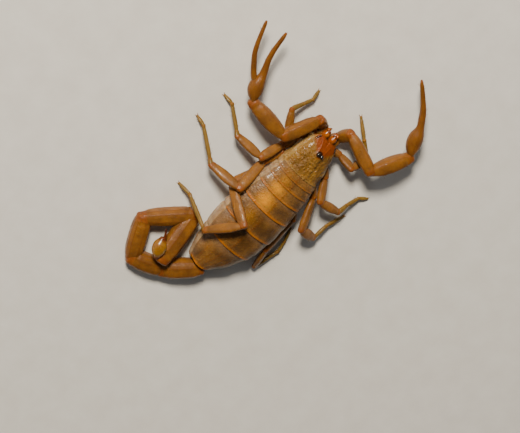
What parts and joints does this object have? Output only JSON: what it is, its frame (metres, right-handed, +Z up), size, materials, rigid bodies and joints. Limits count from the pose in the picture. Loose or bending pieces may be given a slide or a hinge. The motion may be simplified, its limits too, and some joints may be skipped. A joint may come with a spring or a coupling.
{
  "type": "bark scorpion model",
  "caption": "Still, life-size model of a desert bark scorpion flat on the ground, its tail curled on its side beside it, its left pincer open and its right pincer closed.",
  "frame": {"origin": "centre of the bounding box's bottom, on the ground under the belly", "axes": "+Z up out of the back; the head looks along -Y; the animal's left side is +X"},
  "size_m": [0.0298, 0.044, 0.0075],
  "materials": {
    "amber_shell": "waxy gloss of a scorpion's amber shell, slightly see-through at the edges",
    "back_plate": "waxy, fine-grained tan back plates with darker mottling and orange rear edges",
    "soft_flank": "soft pleated lilac-tan membrane, slightly glossy",
    "straw_leg": "pale straw-yellow shell of the lower legs and combs",
    "red_jaw": "shiny orange-red shell",
    "dark_sting": "dark red-brown polished horn",
    "black_eye": "glossy black lens"
  },
  "bodies": {
    "root": {"aculeus": "dark_sting", "carapace": "back_plate", "chelicera_left": "red_jaw", "chelicera_right": "red_jaw", "coxosternum": "amber_shell", "left_leg_1_femur": "amber_shell", "left_leg_1_patella": "amber_shell", "left_leg_1_tibia": "straw_leg", "left_leg_2_femur": "amber_shell", "left_leg_2_patella": "amber_shell", "left_leg_2_tibia": "straw_leg", "left_leg_3_femur": "amber_shell", "left_leg_3_patella": "amber_shell", "left_leg_3_tibia": "straw_leg", "left_leg_4_femur": "amber_shell", "left_leg_4_patella": "amber_shell", "left_leg_4_tibia": "straw_leg", "left_palp_femur": "amber_shell", "left_palp_hand": "amber_shell", "left_palp_movable_finger": "amber_shell", "left_palp_patella": "amber_shell", "left_palp_trochanter": "amber_shell", "median_eye_left": "black_eye", "median_eye_right": "black_eye", "metasoma_1": "amber_shell", "metasoma_2": "amber_shell", "metasoma_3": "amber_shell", "metasoma_4": "amber_shell", "metasoma_5": "amber_shell", "pectine_left": "straw_leg", "pectine_right": "straw_leg", "right_leg_1_femur": "amber_shell", "right_leg_1_patella": "amber_shell", "right_leg_1_tibia": "straw_leg", "right_leg_2_femur": "amber_shell", "right_leg_2_patella": "amber_shell", "right_leg_2_tibia": "straw_leg", "right_leg_3_femur": "amber_shell", "right_leg_3_patella": "amber_shell", "right_leg_3_tibia": "straw_leg", "right_leg_4_femur": "amber_shell", "right_leg_4_patella": "amber_shell", "right_leg_4_tibia": "straw_leg", "right_palp_femur": "amber_shell", "right_palp_hand": "amber_shell", "right_palp_movable_finger": "amber_shell", "right_palp_patella": "amber_shell", "right_palp_trochanter": "amber_shell", "tergite_1": "back_plate", "tergite_2": "back_plate", "tergite_3": "back_plate", "tergite_4": "back_plate", "tergite_5": "back_plate", "tergite_6": "back_plate", "tergite_7": "back_plate", "trunk": "soft_flank", "vesicle": "amber_shell"}
  },
  "joints": []
}
